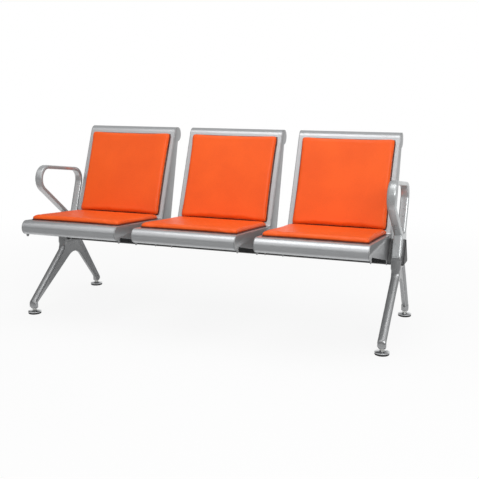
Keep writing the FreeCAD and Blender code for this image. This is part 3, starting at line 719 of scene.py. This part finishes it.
def pad_mesh(name, size):
    """A pad's plain shape, as rings of its profile."""
    work = bmesh.new()
    rings = []
    for inward, height in PAD_PROFILE:
        outline = pad_outline(*size, inward * MM)
        rings.append([work.verts.new((spot.x, spot.y, height * MM)) for spot in outline])
    for inner, outer in zip(rings, rings[1:]):
        for index in range(RING_POINTS):
            follower = (index + 1) % RING_POINTS
            work.faces.new((inner[index], inner[follower], outer[follower], outer[index]))
    work.faces.new(list(reversed(rings[0])))
    work.faces.new(rings[-1])
    bmesh.ops.recalc_face_normals(work, faces=work.faces)
    mesh = bpy.data.meshes.new(name)
    work.to_mesh(mesh)
    work.free()
    return link(bpy.data.objects.new(name, mesh))


# The sewn edge, coloured dark with painted shade at the foot of the pad

WELT_INSET = 2.0 * MM
WELT_HIGH = 2.2 * MM
WELT_RADIUS = 1.9 * MM
WELT_SIDES = 8


def with_welt(mesh, size):
    """Add the cover's sewn edge, a thin roll around the foot of the pad that the painted shade makes dark.
    """
    outline = [spot.to_3d() for spot in pad_outline(*size, WELT_INSET)]
    work = bmesh.new()
    work.from_mesh(mesh)
    rings = []
    for index, spot in enumerate(outline):
        along = (outline[(index + 1) % len(outline)] - outline[index - 1]).normalized()
        outward = along.cross(Vector((0, 0, 1)))
        ring = []
        for turn in range(WELT_SIDES):
            angle = math.radians(360 / WELT_SIDES * turn)
            rise = Vector((0, 0, WELT_HIGH + WELT_RADIUS * math.sin(angle)))
            ring.append(work.verts.new(spot + (outward * (WELT_RADIUS * math.cos(angle)) + rise)))
        rings.append(ring)
    roll = []
    for ring, follower in zip(rings, rings[1:] + rings[:1]):
        for turn in range(WELT_SIDES):
            after = (turn + 1) % WELT_SIDES
            roll.append(work.faces.new((ring[turn], ring[after], follower[after], follower[turn])))
    bmesh.ops.recalc_face_normals(work, faces=roll)
    work.to_mesh(mesh)
    work.free()


# Stuffing: the cover is blown up as cloth, with its turned-under edge held

HELD_LOW = 2 * MM
HELD_HIGH = 7.5 * MM
HELD_INSET = 8 * MM
RIPPLE_SCALE = 22
RIPPLE_HIGH = 0.25 * MM
RIPPLE_FROM = 12 * MM
STUFFING = 4.0
CLOTH_SPARE = 0.012
CLOTH_FRAMES = 16
CLOTH_CAP = 2.4 * MM


def make_cloth(piece):
    """The cover as spare cloth under pressure, without weight."""
    cloth = piece.modifiers.new("cloth", "CLOTH")
    settings = cloth.settings
    settings.quality = 5
    settings.mass = 0.35
    settings.tension_stiffness = 14
    settings.compression_stiffness = 14
    settings.shear_stiffness = 6
    settings.bending_stiffness = 0.6
    settings.use_pressure = True
    settings.uniform_pressure_force = STUFFING
    settings.shrink_min = -CLOTH_SPARE
    settings.shrink_max = -CLOTH_SPARE
    settings.vertex_group_mass = "held"
    settings.effector_weights.gravity = 0
    cloth.collision_settings.use_collision = False
    cloth.point_cache.frame_start = 1
    cloth.point_cache.frame_end = CLOTH_FRAMES


def stuffed(piece, size, seed):
    """Ripple the cover a little, blow it up, and keep each point's move small."""
    held = piece.vertex_groups.new(name="held")
    start = [vertex.co.copy() for vertex in piece.data.vertices]
    for vertex in piece.data.vertices:
        spot = vertex.co
        if spot.z < HELD_LOW or (spot.z < HELD_HIGH and inset(spot, size) > HELD_INSET):
            held.add([vertex.index], 1.0, "REPLACE")
        if spot.z > RIPPLE_FROM:
            spot.z += noise.noise(Vector((spot.x, spot.y, spot.z + seed)) * RIPPLE_SCALE) * RIPPLE_HIGH
    make_cloth(piece)
    for step in range(1, CLOTH_FRAMES + 1):
        bpy.context.scene.frame_set(step)
    apply_modifiers(piece)
    bpy.context.scene.frame_set(1)
    for vertex, old in zip(piece.data.vertices, start):
        move = vertex.co - old
        if move.length > CLOTH_CAP:
            move *= CLOTH_CAP / move.length
        spot = old + move
        spot.x = max(-size[0] / 2, min(size[0] / 2, spot.x))
        spot.y = max(-size[1] / 2, min(size[1] / 2, spot.y))
        spot.z = min(PAD_THICK, max(0.0, spot.z))
        vertex.co = spot


# Whole pads

# Painted shade at the foot of each pad's sides: how far in from the outline, how high it reaches, and the
# height it fades over
FOOT_SHADE_EDGE = 8 * MM
FOOT_SHADE_HIGH = 8 * MM
FOOT_SHADE_FADE = 5 * MM


def foot_shade_share(spot, size):
    """Share of painted shade at a point: 1 on the pad's underside and low on its sides, fading out higher
    up the sides, 0 on its face.
    """
    if inset(spot, size) < FOOT_SHADE_EDGE:
        return max(0.0, min(1.0, (FOOT_SHADE_HIGH - spot.z) / FOOT_SHADE_FADE))
    return 1.0 if spot.z < FOOT_SHADE_HIGH else 0.0


def mark_foot_shade(mesh, size, body_points):
    """Mark the share of painted shade in the cover's colour; the sewn edge after the body's points is fully
    shaded.
    """
    foot_shade = mesh.attributes.new("foot_shade", "FLOAT", "POINT")
    for vertex, mark in zip(mesh.vertices, foot_shade.data):
        mark.value = foot_shade_share(vertex.co, size) if vertex.index < body_points else 1.0


def make_pad(number, kind):
    """A stuffed pad with its sewn edge, in place of the cushion of a seat or back."""
    layout = PADS[kind]
    size, turn = layout["size"], layout["turn"]
    piece = pad_mesh(f"seat_{number}_{kind}_pad", size)
    remeshed(piece, PAD_VOXEL)
    apply_modifiers(piece)
    stuffed(piece, size, number * SEED_STEP + layout["seed"])
    finer = piece.modifiers.new("finer", "SUBSURF")
    finer.levels = 1
    finer.render_levels = 1
    apply_modifiers(piece)
    mesh = piece.data
    body_points = len(mesh.vertices)
    with_welt(mesh, size)
    mark_foot_shade(mesh, size, body_points)
    board_low, board_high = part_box(f"seat_{number}_{kind}_board")
    origin = (board_low + board_high) / 2 - turn @ Vector((0, 0, BOARD_THICK / 2))
    mesh.transform(Matrix.Translation(origin) @ turn.to_4x4())
    shade_smooth(piece)
    take_over(piece, f"seat_{number}_{kind}_cushion")


for number in SEATS:
    for kind in PADS:
        make_pad(number, kind)
